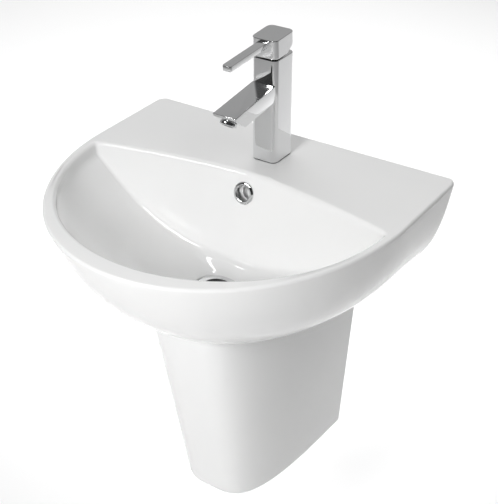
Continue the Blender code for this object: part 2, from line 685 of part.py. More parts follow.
def build_supply(name, side):
    """One side's copper tail, its nut, and the angle valve with its cover plate and knob."""
    x = side * VALVE_X
    height = depth(VALVE_D)
    curve = bpy.data.curves.new(name + "_tail", "CURVE")
    curve.dimensions = "3D"
    curve.bevel_depth = TAIL_R
    curve.bevel_resolution = 2
    curve.use_fill_caps = True
    start = depth(-TAIL_TOP)
    bend = depth(0.050)
    straight = depth(0.270)
    end = height + 0.0235
    heights = [start, (start + bend) / 2]
    heights += [bend + (straight - bend) * k / 14 for k in range(15)]
    heights += [(straight + end) / 2, end]
    line = curve.splines.new("POLY")
    line.points.add(len(heights) - 1)
    for point, z in zip(line.points, heights):
        part = min(max((bend - z) / (bend - straight), 0.0), 1.0)
        swing = part * part * (3 - 2 * part)
        across = TAIL_X + (VALVE_X - TAIL_X) * swing
        point.co = (side * across, TAIL_Y + (VALVE_Y - TAIL_Y) * swing, z, 1.0)
    tail = bpy.data.objects.new(name + "_tail", curve)
    bpy.context.scene.collection.objects.link(tail)
    curve.materials.append(material(COPPER))

    nut(name + "_tail_nut", 0.0190, TAIL_R + GAP, 0.012, BRASS, (x, VALVE_Y, height + 0.0238))
    body = [(0, 0.0660), (0.0030, 0.0660), (0.0030, 0.0580), (0.0110, 0.0580), (0.0110, 0.0120)]
    body += [(0.0104, 0.0120), (0.0104, -0.0250), (0, -0.0250)]
    valve = turned(name + "_valve_body", body[::-1], CHROME, (x, 0, height), FACE_FRONT, count=16)
    outlet = round_cutter(name + "_outlet", 0.0085, (x, VALVE_Y, height), (x, VALVE_Y, height + 0.0232), 16)
    combine(valve, outlet, "UNION")
    knob = [(0.0033, 0.0665), (0.0033, 0.0583), (0.0100, 0.0583), (0.0140, 0.0620), (0.0135, 0.0760)]
    knob += [(0.0110, 0.0780)]
    shape = bmesh.new()
    add_loft(shape, [circle(r, 16, z) for r, z in knob])
    knob_mesh = finish_mesh(name + "_valve_knob", shape)
    add_object(name + "_valve_knob", knob_mesh, CHROME, (x, 0, height), FACE_FRONT)
    build_escutcheon(name + "_valve_cover", (x, 0, height), 0.0107, 0.0260)


# ---- tap body and its fixing ----------------------------------------------------------------------
TAP_AT = Vector((0.0, TAP_Y, RIM_Z))
COLUMN_R = 0.0085            # vertical corners of the column
CHAMBER_R = 0.0176
CHAMBER_FLOOR = 0.104
AERATOR_TILT = math.radians(35.5)
AERATOR_AT = Vector((0.0, -0.1830, depth(-0.0938)))
AERATOR_OUT = Vector((0.0, -math.sin(AERATOR_TILT), -math.cos(AERATOR_TILT)))


def build_tap_body():
    rings = []
    for height, inset in ((0.0015, 0.0), (TAP_TOP - 0.0008, 0.0), (TAP_TOP, 0.0008)):
        ring = rounded_box_ring(TAP_HALF_W - inset, TAP_HALF_D - inset, COLUMN_R - inset, height)
        rings.append(ring)
    shape = bmesh.new()
    add_loft(shape, rings)
    body = add_object("tap_body", finish_mesh("tap_body", shape), CHROME, TAP_AT)
    tip = TAP_Y - SPOUT_REACH
    outline = [(-0.0990, 0.1170), (tip, 0.1060), (tip + 0.001, 0.1020), (tip + 0.023, 0.0855)]
    outline += [(-0.0990, 0.0940)]
    spout = cutter("spout", extrude_x("spout", [(y, RIM_Z + z) for y, z in outline], 0.018))
    bevel(spout, 0.0008, 1)
    combine(body, spout, "UNION")
    top = (0, TAP_Y, depth(-0.17))
    combine(body, round_cutter("chamber", CHAMBER_R, (0, TAP_Y, depth(-CHAMBER_FLOOR)), top, ROUND))
    combine(body, round_cutter("foot", 0.0168, (0, TAP_Y, depth(0.01)), (0, TAP_Y, depth(-0.060))))
    seat = AERATOR_AT - AERATOR_OUT * 0.0060
    combine(body, round_cutter("aerator_seat", 0.0092, AERATOR_AT + AERATOR_OUT * 0.01, seat, 20))
    channel_start = (0, TAP_Y - 0.011, depth(-0.1088))
    combine(body, round_cutter("channel", 0.0042, channel_start, seat, 12))
    for name, side in (("hot", -1), ("cold", 1)):
        x = side * TAIL_X
        combine(body, round_cutter("socket_" + name, TAIL_R + GAP, (x, TAIL_Y, depth(-0.055)),
                                   (x, TAIL_Y, depth(-0.0700)), 12))
        combine(body, round_cutter("port_" + name, 0.0035, (x, TAIL_Y, depth(-0.065)),
                                   (x, TAIL_Y, depth(-0.110)), 12))
    stud_hole = ((0, STUD_Y, depth(-0.055)), (0, STUD_Y, depth(-0.0750)))
    combine(body, round_cutter("stud_hole", STUD_R + GAP, *stud_hole, 12))


STUD_Y = -0.0655
STUD_R = 0.0038
LEDGE_D = 0.015              # underside of the tap ledge below the rim


def build_tap_fixing():
    shape = bmesh.new()
    edge = (TAP_HALF_W - 0.0008, TAP_HALF_D - 0.0008, COLUMN_R - 0.0008)
    rings = [rounded_box_ring(*edge, height) for height in (GAP, 0.0012)]
    hole = [rounded_box_ring(0.0170, 0.0170, 0.0169, height) for height in (0.0012, GAP)]
    add_loft(shape, rings + hole, ring_loop=True)
    add_object("tap_base_gasket", finish_mesh("tap_base_gasket", shape), RUBBER, TAP_AT)
    under = LEDGE_D + GAP
    turned("tap_clamp_rubber", ring_profile(0.0170, 0.0225, under, under + 0.003), RUBBER, TAP_AT)
    plate_top = under + 0.0033
    shape = bmesh.new()
    add_loft(shape, [circle(0.0220, ROUND, -plate_top - 0.0025), circle(0.0220, ROUND, -plate_top)])
    plate = add_object("tap_clamp_plate", finish_mesh("tap_clamp_plate", shape), STEEL, TAP_AT)
    stud_hole = ((0, STUD_Y, depth(0.05)), (0, STUD_Y, depth(0)))
    combine(plate, round_cutter("plate_stud", STUD_R + GAP, *stud_hole, 12))
    for side in (-1, 1):
        x = side * TAIL_X
        ends = ((x, TAIL_Y, depth(0.05)), (x, TAIL_Y, RIM_Z))
        hole = round_cutter("plate_tail%d" % side, TAIL_R + 0.0006, *ends, 12)
        combine(plate, hole)
    stud = [(0, -0.0480), (STUD_R, -0.0480), (STUD_R, 0.0740), (0, 0.0740)]
    turned("tap_stud", stud, BRASS, (0, STUD_Y, RIM_Z), count=12)
    nut("tap_clamp_nut", 0.0120, STUD_R + GAP, 0.0120, BRASS, (0, STUD_Y, depth(plate_top + 0.0028 + 0.0120)))


def build_aerator():
    turn = AERATOR_OUT.to_track_quat("Z", "Y").to_matrix()
    housing = [(0.0080, -0.0055), (0.0088, -0.0055), (0.0088, 0.0003), (0.0110, 0.0003), (0.0112, 0.0020)]
    housing += [(0.0110, 0.0058), (0.0100, 0.0064), (0.0080, 0.0064)]
    turned("aerator_housing", housing, CHROME, AERATOR_AT, turn, count=ROUND)
    insert = [(0, -0.0050), (0.0077, -0.0050), (0.0077, 0.0050), (0.0060, 0.0054), (0, 0.0054)]
    turned("aerator_insert", insert, GREY_PLASTIC, AERATOR_AT, turn)


# ---- cartridge ------------------------------------------------------------------------------------
DISC_D = 0.0030
BORE_R = 0.0150              # inside of the cartridge housing
BORE_FLOOR = 0.1340
PIVOT = Vector((0.0, TAP_Y, RIM_Z + PIVOT_H))


def holes(target, name, points, radius, low, high):
    """Upright round holes through a piece, at (x, y) points given from the tap's axis."""
    for k, (x, y) in enumerate(points):
        ends = ((x, TAP_Y + y, depth(-low)), (x, TAP_Y + y, depth(-high)))
        combine(target, round_cutter("%s_%d" % (name, k), radius, *ends, 12))


INLETS = ((-TAIL_X, TAIL_Y - TAP_Y), (TAIL_X, TAIL_Y - TAP_Y))


def build_cartridge():
    base = CHAMBER_FLOOR + 0.0018
    outer = CHAMBER_R - 0.0005
    shape = bmesh.new()
    rings = [circle(outer, ROUND, base), circle(outer, ROUND, 0.1470), circle(BORE_R, ROUND, 0.1470)]
    rings.append(circle(BORE_R, ROUND, BORE_FLOOR))
    add_loft(shape, rings)
    housing = add_object("cartridge_housing", finish_mesh("cartridge_housing", shape), WHITE_PLASTIC, TAP_AT)
    holes(housing, "housing_inlet", INLETS, 0.0032, 0.09, 0.14)
    holes(housing, "housing_outlet", ((0.0, 0.0065),), 0.0040, 0.1100, 0.14)
    outlet = ((0, TAP_Y + 0.0085, depth(-0.1115)), (0, TAP_Y - 0.030, depth(-0.1115)))
    combine(housing, round_cutter("housing_way_out", 0.0040, *outlet, 12))
    seal = [(0, CHAMBER_FLOOR + GAP), (0.0150, CHAMBER_FLOOR + GAP), (0.0150, base - GAP), (0, base - GAP)]
    seal = turned("cartridge_base_seal", seal, RUBBER, TAP_AT)
    holes(seal, "seal_inlet", INLETS, 0.0034, 0.09, 0.12)
    front = (-0.02, TAP_Y - 0.02, depth(-0.09)), (0.02, TAP_Y - 0.0086, depth(-0.12))
    combine(seal, cutter("seal_front", box_mesh("seal_front", *front)))
    low = BORE_FLOOR + GAP
    disc = [(0, low), (BORE_R - 0.0004, low), (BORE_R - 0.0004, low + DISC_D), (0, low + DISC_D)]
    fixed = turned("cartridge_fixed_disc", disc, DISC_CERAMIC, TAP_AT, count=ROUND)
    holes(fixed, "disc_port", INLETS + ((0.0, 0.0065),), 0.0030, 0.12, 0.15)
    low += DISC_D + GAP
    moving_at = TAP_AT + Vector((0, 0.0030, 0))
    disc = [(0, low), (0.0105, low), (0.0105, low + DISC_D), (0, low + DISC_D)]
    moving = turned("cartridge_moving_disc", disc, DISC_CERAMIC, moving_at)
    pocket_low = (-0.0034, TAP_Y - 0.0026, depth(-(low + 0.0008)))
    pocket_high = (0.0034, TAP_Y + 0.0044, depth(-(low + 0.01)))
    combine(moving, cutter("disc_pocket", box_mesh("disc_pocket", pocket_low, pocket_high)))
    rotor_low = low + DISC_D + 0.0006
    profile = [(0, rotor_low), (BORE_R - 0.0004, rotor_low), (BORE_R - 0.0004, 0.1465), (0.0085, 0.1465)]
    rotor = turned("cartridge_rotor", profile + [(0.0085, 0.1600), (0, 0.1600)], GREY_PLASTIC, TAP_AT)
    slot = [(-0.0112, -0.0170), (0.0050, -0.0170), (0.0046, 0.0), (0.0056, 0.0040), (-0.0046, 0.0040)]
    slot += [(-0.0050, -0.0030)]
    slot = [(PIVOT.y + y, PIVOT.z + z) for y, z in slot]
    combine(rotor, cutter("rotor_slot", extrude_x("rotor_slot", slot, 0.0034)))
    pin_ends = ((-0.02, PIVOT.y, PIVOT.z), (0.02, PIVOT.y, PIVOT.z))
    combine(rotor, round_cutter("rotor_pin_hole", 0.0015, *pin_ends, 12))
    pin = [(0, -0.0078), (0.0012, -0.0078), (0.0012, 0.0078), (0, 0.0078)]
    across = Matrix.Rotation(math.radians(90), 3, "Y")
    turned("cartridge_pin", pin, STEEL, PIVOT, across, count=12)
    ring = [(0.0090, 0.1473), (outer, 0.1473), (outer, TAP_TOP - 0.0004), (0.0090, TAP_TOP - 0.0004)]
    turned("cartridge_nut", ring, BRASS, TAP_AT, count=ROUND)
    build_bonnet()


BONNET_OPEN = 0.0098         # radius of the opening that the stem swings in


def dome(radius, steps, low):
    """Profile of a dome about the lift axis, from low to its opening, as (radius, height above the rim)."""
    points = []
    first = math.asin(low / radius)
    last = math.acos(BONNET_OPEN / radius)
    for k in range(steps + 1):
        angle = first + (last - first) * k / steps
        points.append((radius * math.cos(angle), PIVOT_H + radius * math.sin(angle)))
    return points


def build_bonnet():
    """Round cover over the cartridge, open on top for the stem."""
    outer = dome(0.0140, 4, -0.0028)
    inner = dome(0.0125, 4, -0.0036)
    profile = [(inner[0][0], TAP_TOP + GAP), (0.0165, TAP_TOP + GAP), (0.0165, TAP_TOP + 0.0010)]
    profile += outer + inner[::-1][:-1]
    turned("bonnet", profile, CHROME, TAP_AT)


# ---- handle ---------------------------------------------------------------------------------------
def build_handle():
    """Cap with its flat lever, on the stem. Everything here is drawn level about the lift axis and hangs
    from an empty that droops with the lever."""
    lift = bpy.data.objects.new("lift_axis", None)
    bpy.context.scene.collection.objects.link(lift)
    droop = Matrix.Rotation(HANDLE_DROOP, 3, "X")
    lift.matrix_world = Matrix.Translation(PIVOT) @ droop.to_4x4()
    top = CAP_TOP - PIVOT_H
    bottom = -0.0015
    shape = bmesh.new()
    rings = []
    for height, inset in ((bottom, 0.0006), (bottom + 0.0006, 0.0), (top - 0.0006, 0.0), (top, 0.0006)):
        rings.append(rounded_box_ring(TAP_HALF_W - inset, TAP_HALF_D - inset, COLUMN_R, height, arc=5))
    add_loft(shape, rings)

    def hung(name, mesh, finish=None):
        """Add a piece in the lift axis's own frame."""
        if finish:
            return add_object(name, mesh, finish, PIVOT, droop, smooth=30)
        return cutter(name, mesh, PIVOT, droop)

    cap = hung("tap_handle", finish_mesh("tap_handle", shape), CHROME)
    lever_top = top - 0.0030
    plan = lever_plan(0.0070, -0.0200, -LEVER_REACH, 0.0035)
    shape = bmesh.new()
    add_loft(shape, [[(x, y, z) for x, y in plan] for z in (lever_top - 0.0075, lever_top)])
    lever = hung("lever", finish_mesh("lever", shape))
    bevel(lever, 0.0006, 1)
    combine(cap, lever, "UNION")
    wedge = [(0.0035, bottom), (0.0300, 0.0145), (0.0300, -0.0100), (0.0040, -0.0100)]
    combine(cap, hung("heel", extrude_x("heel", wedge, 0.03)))
    shape = bmesh.new()
    bmesh.ops.create_uvsphere(shape, u_segments=16, v_segments=8, radius=0.0150)
    combine(cap, hung("cap_hollow", finish_mesh("cap_hollow", shape)))
    half = 0.0043
    combine(cap, hung("socket", box_mesh("socket", (-half, -half, 0.0), (half, half, 0.0218))))
    shape = bmesh.new()
    rings = []
    for height, size in ((-0.0172, 0.0028), (0.0070, 0.0028), (0.0070, 0.0040), (0.0215, 0.0040)):
        corners = ((-size, -size), (size, -size), (size, size), (-size, size))
        rings.append([(x, y, height) for x, y in corners])
    add_loft(shape, rings)
    stem = hung("cartridge_stem", finish_mesh("cartridge_stem", shape), BRASS)
    shape = bmesh.new()
    add_loft(shape, [circle(0.0015, 12, -0.02), circle(0.0015, 12, 0.02)])
    shape.transform(Matrix.Rotation(math.radians(90), 4, "Y"))
    combine(stem, hung("stem_pin_hole", finish_mesh("stem_pin_hole", shape)))
    screw_z = 0.0178
    tunnels = (("screw_way", 0.0026, 0.0, 0.0300), ("indicator_seat", 0.0037, 0.0220, 0.0300))
    for name, radius, start, end in tunnels:
        combine(cap, hung(name, rod_mesh(name, radius, start, end, screw_z)))
    hung("handle_screw", rod_mesh("handle_screw", 0.0023, 0.0043, 0.0140, screw_z), STEEL)
    hung("handle_indicator", rod_mesh("handle_indicator", 0.0034, 0.0223, 0.0240, screw_z), RED_BLUE)
    for name in ("tap_handle", "cartridge_stem", "handle_screw", "handle_indicator"):
        thing = bpy.data.objects[name]
        place = thing.matrix_world.copy()
        thing.parent = lift
        thing.matrix_parent_inverse = lift.matrix_world.inverted()
        thing.matrix_world = place


def lever_plan(half, start, tip, radius):
    """Plan of the lever: square at the cap, round corners at the tip."""
    points = [(half, start)]
    for k in range(4):
        angle = math.pi / 2 * k / 3
        points.append((half - radius + radius * math.cos(angle), tip + radius - radius * math.sin(angle)))
    return points + [(-x, y) for x, y in reversed(points)]


def rod_mesh(name, radius, start, end, height):
    """A rod lying along Y at a height, in its own frame."""
    shape = bmesh.new()
    rings = []
    for y in (start, end):
        ring = circle(radius, 12, 0.0)
        rings.append([(x, y, z + height) for x, z, _ in ring])
    add_loft(shape, rings)
    return finish_mesh(name, shape)


# ---- wall fixings ---------------------------------------------------------------------------------
def build_wall_fixings():
    """Hanger bolts of the basin and screws of the semi-pedestal, their axes square to the wall."""
    for name, side in (("left", -1), ("right", 1)):
        at = (side * BOLT_X, 0.0, 0.0)
        bolt = [(0, -0.055), (0.0050, -0.055), (0.0050, 0.045), (0, 0.045)]
        turned("basin_bolt_" + name, bolt, STEEL, at, FACE_FRONT, count=12)
        back = WALL_T + GAP
        washer = [(0.0054, back), (0.0150, back), (0.0150, back + 0.003), (0.0054, back + 0.003)]
        turned("basin_washer_" + name, washer, WHITE_PLASTIC, at, FACE_FRONT, count=20)
        nut("basin_nut_" + name, 0.0170, 0.0053, 0.008, STEEL, (at[0], -back - 0.0033, 0.0), FACE_FRONT)

        at = (side * PED_SCREW_X, 0.0, depth(PED_SCREW_D))
        back = PED_WALL + GAP
        screw = [(0, -0.040), (0.0028, -0.040), (0.0028, back), (0.0085, back), (0.0085, back + 0.0012)]
        screw += [(0.0055, back + 0.0016), (0.0035, back + 0.0048), (0, back + 0.0048)]
        turned("pedestal_screw_" + name, screw, STEEL, at, FACE_FRONT, count=16)


build_basin()
build_pedestal()
build_overflow_ring()
build_waste()
build_trap()
build_tap_body()
build_tap_fixing()
build_aerator()
build_cartridge()
build_handle()
build_supply("hot", -1)
build_supply("cold", 1)
build_wall_fixings()
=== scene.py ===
import json
import math

import bmesh
import bpy
import numpy as np
from mathutils import Matrix, Vector


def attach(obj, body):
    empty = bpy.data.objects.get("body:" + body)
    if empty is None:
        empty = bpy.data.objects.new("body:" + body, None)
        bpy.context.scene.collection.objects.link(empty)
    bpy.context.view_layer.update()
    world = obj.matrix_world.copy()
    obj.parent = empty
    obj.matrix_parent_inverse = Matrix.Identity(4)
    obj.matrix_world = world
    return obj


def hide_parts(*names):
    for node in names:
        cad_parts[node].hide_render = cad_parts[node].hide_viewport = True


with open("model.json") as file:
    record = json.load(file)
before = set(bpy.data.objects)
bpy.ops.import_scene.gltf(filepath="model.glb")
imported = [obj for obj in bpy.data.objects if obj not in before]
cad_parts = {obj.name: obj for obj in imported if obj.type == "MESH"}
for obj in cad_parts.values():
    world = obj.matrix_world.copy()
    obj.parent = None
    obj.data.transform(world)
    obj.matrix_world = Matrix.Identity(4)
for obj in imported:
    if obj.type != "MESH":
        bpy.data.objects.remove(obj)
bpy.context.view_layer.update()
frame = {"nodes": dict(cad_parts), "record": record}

# ---- the CAD part's own dimensions, in metres, repeated here for the fine pieces ----
RIM_Z = 0.090
FLOOR_Z = RIM_Z - 0.850
BASIN_HALF = 0.2515
BASIN_DEEP = 0.448
BODY_H = 0.175
BODY_CUT = 0.985
SIDE_RUN = 0.150
CORNER_R = 0.016
RIM_R = 0.005
EDGE_R = 0.006
BOWL_D = 0.144               # rim to the lowest edge of the bowl
DRAIN_Y = -0.220
DRAIN_R = 0.034
SEAT_D = 0.148               # rim to the floor of the recess round the waste
MOUTH_HALF = 0.234
MOUTH_FRONT = 0.241          # mouth's centre line to its front
CREASE_LIMIT = math.radians(62)
WASTE_R = 0.0208             # threaded tail of the waste
WASTE_BORE = 0.0165
WASTE_END = 0.212
PLUG_SHELF = 0.1560          # ledge inside the waste that the plug closes on
PLUG_TOP = 0.1505
PLUG_UNDER = 0.1540
WALL_T = 0.013
TAP_Y = -0.077
TAP_HOLE_R = 0.0175
TAP_HALF_W = 0.020
TAP_HALF_D = 0.024
COLUMN_R = 0.0085
TAP_TOP = 0.153
CAP_TOP = 0.182
PIVOT_H = 0.157              # lift axis over the rim
BONNET_OPEN = 0.0098         # radius of the opening that the stem swings in
SPOUT_REACH = 0.118          # tap's centre to the spout tip
SPOUT_HALF = 0.018
LEVER_REACH = 0.111          # lift axis to the lever tip
OVERFLOW_TILT = math.atan(0.30)
OVERFLOW_OUT = Vector((0, -math.cos(OVERFLOW_TILT), math.sin(OVERFLOW_TILT)))
OVERFLOW_AT = Vector((0, -0.1484, RIM_Z - 0.0285))
AERATOR_TILT = math.radians(35.5)
AERATOR_AT = Vector((0.0, -0.1830, RIM_Z + 0.0938))
AERATOR_OUT = Vector((0.0, -math.sin(AERATOR_TILT), -math.cos(AERATOR_TILT)))
TAP_AT = Vector((0.0, TAP_Y, RIM_Z))
PIVOT = Vector((0.0, TAP_Y, RIM_Z + PIVOT_H))
DROOP = Matrix.Rotation(math.radians(3), 3, "X")
DRAIN_AT = Vector((0.0, DRAIN_Y, RIM_Z))
PED_TOP_D = 0.165            # depths below the rim where the semi-pedestal's sizes hold
PED_BOT_D = 0.511
PED_TOP_W = 0.1114           # its half width at the wall
PED_BOT_W = 0.0863
PED_TOP_Y = 0.3081           # its reach from the wall
PED_BOT_Y = 0.2402
PED_TUCK = 0.1137            # part of the half width that it loses by its front
PED_POWER = 3.52             # how square its outline is
PED_WALL = 0.012
PED_ROLL = 0.018             # radius of its bottom edge
PED_SCREW_X = 0.076
PED_SCREW_D = 0.325
BOLT_X = 0.140


def depth(below):
    return RIM_Z - below


# ---- mesh helpers ----
def loft(shape, rings, ring_loop=False, caps=True):
    made = [[shape.verts.new(point) for point in ring] for ring in rings]
    count = len(rings[0])
    pairs = list(zip(made, made[1:]))
    if ring_loop:
        pairs.append((made[-1], made[0]))
    for lower, upper in pairs:
        for i in range(count):
            j = (i + 1) % count
            shape.faces.new((lower[i], lower[j], upper[j], upper[i]))
    if caps and not ring_loop:
        shape.faces.new(made[0])
        shape.faces.new(made[-1])


def piece(name, shape, at=(0, 0, 0), turn=None, sharp=35):
    bmesh.ops.recalc_face_normals(shape, faces=shape.faces)
    mesh = bpy.data.meshes.new(name)
    shape.to_mesh(mesh)
    shape.free()
    place = Matrix.Translation(at)
    if turn is not None:
        place = place @ turn.to_4x4()
    mesh.transform(place)
    mesh.shade_smooth()
    mesh.set_sharp_from_angle(angle=math.radians(sharp))
    made = bpy.data.objects.new(name, mesh)
    bpy.context.scene.collection.objects.link(made)
    return made


def lofted(name, rings, at=(0, 0, 0), turn=None, ring_loop=False, sharp=35):
    shape = bmesh.new()
    loft(shape, rings, ring_loop)
    return piece(name, shape, at, turn, sharp)


def circle(radius, count, height):
    steps = [2 * math.pi * i / count for i in range(count)]
    return [(radius * math.cos(a), radius * math.sin(a), height) for a in steps]


def turned(name, profile, at, turn=None, count=96, sharp=35):
    """profile is a closed outline of (radius, height) clear of the axis, or starts and ends on it."""
    if profile[0][0] == 0:
        return lofted(name, [circle(r, count, z) for r, z in profile[1:-1]], at, turn, sharp=sharp)
    return lofted(name, [circle(r, count, z) for r, z in profile], at, turn, True, sharp)


def round_outline(points, radius, steps=5):
    """A closed outline with every corner rounded by up to that radius."""
    made = []
    count = len(points)
    for i in range(count):
        here = Vector(points[i])
        before = Vector(points[i - 1]) - here
        after = Vector(points[(i + 1) % count]) - here
        turn = before.angle(after)
        run = min(radius / math.tan(turn / 2), before.length * 0.45, after.length * 0.45)
        start = here + before.normalized() * run
        end = here + after.normalized() * run
        for k in range(steps + 1):
            t = k / steps
            made.append(tuple((1 - t) ** 2 * start + 2 * t * (1 - t) * here + t * t * end))
    return made


def box_ring(half_x, half_y, radius, height, arc=12):
    points = []
    for quarter, (sx, sy) in enumerate(((1, 1), (-1, 1), (-1, -1), (1, -1))):
        for k in range(arc + 1):
            angle = math.pi / 2 * (quarter + k / arc)
            x = sx * (half_x - radius) + radius * math.cos(angle)
            y = sy * (half_y - radius) + radius * math.sin(angle)
            points.append((x, y, height))
    return points


def box(name, low, high, at=(0, 0, 0), turn=None):
    corners = [(low[0], low[1]), (high[0], low[1]), (high[0], high[1]), (low[0], high[1])]
    return lofted(name, [[(x, y, z) for x, y in corners] for z in (low[2], high[2])], at, turn)


def rod(name, radius, start, end, count=64):
    start = Vector(start)
    run = Vector(end) - start
    turn = run.to_track_quat("Z", "Y").to_matrix()
    return lofted(name, [circle(radius, count, 0), circle(radius, count, run.length)], start, turn)


def side_drawn(name, outline, half_width):
    return lofted(name, [[(x, y, z) for y, z in outline] for x in (-half_width, half_width)])


def bevel(target, width, segments=3, angle=40):
    step = target.modifiers.new("edges", "BEVEL")
    step.width = width
    step.segments = segments
    step.limit_method = "ANGLE"
    step.angle_limit = math.radians(angle)


used = {}                    # each piece's cutters, until it is settled


def cut(target, other, operation="DIFFERENCE"):
    step = target.modifiers.new(other.name, "BOOLEAN")
    step.operation = operation
    step.object = other
    step.solver = "EXACT"
    used.setdefault(target.name, []).append(other)


def settle(target, sharp=35):
    """Apply a piece's modifiers to its mesh and remove the pieces that cut it."""
    bpy.context.view_layer.update()
    seen = target.evaluated_get(bpy.context.evaluated_depsgraph_get())
    mesh = bpy.data.meshes.new_from_object(seen)
    mesh.name = target.name
    old = target.data
    target.modifiers.clear()
    target.data = mesh
    bpy.data.meshes.remove(old)
    mesh.shade_smooth()
    mesh.set_sharp_from_angle(angle=math.radians(sharp))
    for other in used.pop(target.name, []):
        bpy.data.objects.remove(other, do_unlink=True)


# ---- procedural materials ----
def glossy(name, light, dark, rough, metallic=0.0, scale=9.0, bump=0.02, bump_scale=60.0, stretch=None):
    """A Principled material: mottled colour, uneven roughness and a fine bump, all from noise."""
    made = bpy.data.materials.new(name)
    made.use_nodes = True
    nodes = made.node_tree.nodes
    links = made.node_tree.links
    shader = nodes["Principled BSDF"]
    shader.inputs["Metallic"].default_value = metallic
    shader.inputs["IOR"].default_value = 1.5
    where = nodes.new("ShaderNodeTexCoord")
    mapping = nodes.new("ShaderNodeMapping")
    links.new(where.outputs["Object"], mapping.inputs["Vector"])
    if stretch:
        mapping.inputs["Scale"].default_value = stretch
    broad = nodes.new("ShaderNodeTexNoise")
    broad.inputs["Scale"].default_value = scale
    broad.inputs["Detail"].default_value = 4.0
    fine = nodes.new("ShaderNodeTexNoise")
    fine.inputs["Scale"].default_value = bump_scale
    fine.inputs["Detail"].default_value = 3.0
    for noise in (broad, fine):
        links.new(mapping.outputs["Vector"], noise.inputs["Vector"])
    tint = nodes.new("ShaderNodeValToRGB")
    tint.color_ramp.elements[0].position = 0.35
    tint.color_ramp.elements[1].position = 0.65
    tint.color_ramp.elements[0].color = (*dark, 1)
    tint.color_ramp.elements[1].color = (*light, 1)
    links.new(broad.outputs["Fac"], tint.inputs["Fac"])
    links.new(tint.outputs["Color"], shader.inputs["Base Color"])
    gloss = nodes.new("ShaderNodeMapRange")
    gloss.inputs["From Min"].default_value = 0.3
    gloss.inputs["From Max"].default_value = 0.7
    gloss.inputs["To Min"].default_value = rough[0]
    gloss.inputs["To Max"].default_value = rough[1]
    links.new(fine.outputs["Fac"], gloss.inputs["Value"])
    links.new(gloss.outputs["Result"], shader.inputs["Roughness"])
    relief = nodes.new("ShaderNodeBump")
    relief.inputs["Strength"].default_value = bump
    relief.inputs["Distance"].default_value = 0.001
    links.new(fine.outputs["Fac"], relief.inputs["Height"])
    links.new(relief.outputs["Normal"], shader.inputs["Normal"])
    return made


GLAZE = glossy("white_glaze", (0.86, 0.86, 0.855), (0.84, 0.842, 0.84), (0.05, 0.09), scale=5.0,
               bump=0.02, bump_scale=26.0)
CHROME = glossy("chrome_plate", (0.80, 0.803, 0.806), (0.785, 0.79, 0.795), (0.03, 0.06), 1.0, scale=30.0,
                bump=0.01, bump_scale=120.0)
BRASS = glossy("machined_brass", (0.75, 0.58, 0.30), (0.66, 0.49, 0.24), (0.22, 0.36), 1.0, scale=70.0,
               bump=0.06, bump_scale=400.0, stretch=(1, 1, 4))
COPPER = glossy("copper_tube", (0.80, 0.44, 0.28), (0.66, 0.34, 0.20), (0.20, 0.34), 1.0, scale=40.0,
                bump=0.04, bump_scale=300.0, stretch=(3, 3, 0.6))
STEEL = glossy("zinc_plated_steel", (0.66, 0.67, 0.68), (0.52, 0.53, 0.54), (0.26, 0.42), 1.0, scale=90.0,
               bump=0.06, bump_scale=500.0)
# black rubber for the rubber parts; the plug's dome also wears it as painted shade, standing for the dark
# down the open waste hole
RUBBER_AND_PLUG_SHADE = glossy("black_rubber", (0.035, 0.035, 0.036), (0.022, 0.022, 0.023), (0.60, 0.80), scale=80.0,
                bump=0.15, bump_scale=700.0)
WHITE_PLASTIC = glossy("white_polypropylene", (0.84, 0.84, 0.82), (0.79, 0.79, 0.77), (0.34, 0.46),
                       scale=60.0, bump=0.05, bump_scale=900.0)
GREY_PLASTIC = glossy("grey_acetal", (0.30, 0.31, 0.33), (0.24, 0.25, 0.27), (0.38, 0.52), scale=80.0,
                      bump=0.08, bump_scale=900.0)
ALUMINA = glossy("lapped_alumina", (0.90, 0.88, 0.84), (0.85, 0.83, 0.79), (0.16, 0.26), scale=120.0,
                 bump=0.02, bump_scale=900.0)
BASE_OF = {"glaze": GLAZE, "chrome": CHROME, "brass": BRASS, "copper": COPPER, "steel": STEEL,
           "rubber": RUBBER_AND_PLUG_SHADE, "white_plastic": WHITE_PLASTIC, "grey_plastic": GREY_PLASTIC, "disc": ALUMINA}


def indicator_material():
    """Red on its hot half, blue on its cold half, like the plug in the back of the handle."""
    made = glossy("hot_cold_plug", (0.20, 0.20, 0.55), (0.16, 0.16, 0.50), (0.20, 0.32), scale=300.0,
                  bump=0.02, bump_scale=900.0)
    nodes = made.node_tree.nodes
    links = made.node_tree.links
    where = nodes["Texture Coordinate"]
    part = nodes.new("ShaderNodeSeparateXYZ")
    links.new(where.outputs["Object"], part.inputs["Vector"])
    half = nodes.new("ShaderNodeMapRange")
    half.inputs["From Min"].default_value = -0.0001
    half.inputs["From Max"].default_value = 0.0001
    links.new(part.outputs["X"], half.inputs["Value"])
    mix = nodes.new("ShaderNodeMix")
    mix.data_type = "RGBA"
    mix.inputs["A"].default_value = (0.55, 0.03, 0.03, 1)
    links.new(half.outputs["Result"], mix.inputs["Factor"])
    links.new(nodes["Color Ramp"].outputs["Color"], mix.inputs["B"])
    links.new(mix.outputs["Result"], nodes["Principled BSDF"].inputs["Base Color"])
    return made


INDICATOR = indicator_material()


def show(target, body, slot, material, *nodes):
    """Finish a fine piece: material, body, and the CAD nodes it stands for; slot is not used."""
    target.data.materials.clear()
    target.data.materials.append(material)
    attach(target, body)
    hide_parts(*nodes)


# ---- basin ----
def body_inset(t, run, bulge, power):
    return run * BODY_H * t + bulge * (1 - (1 - t ** power) ** (1 / power))


def body_plan(t):
    """Half width at the wall and before the front curve, where that starts, its reach and roundness."""
    half = BASIN_HALF - body_inset(t, 0.1805, 0.1481, 2.855)
    side = SIDE_RUN - 0.0983 * t
    reach = BASIN_DEEP - side - body_inset(t, 0.4123, 0.124, 2.378)
    return half + 0.0118 * t * t, half, side, reach, 2 + 0.322 * t


BACK_STEPS, CORNER_STEPS, SIDE_STEPS, FRONT_STEPS = 24, 6, 14, 176


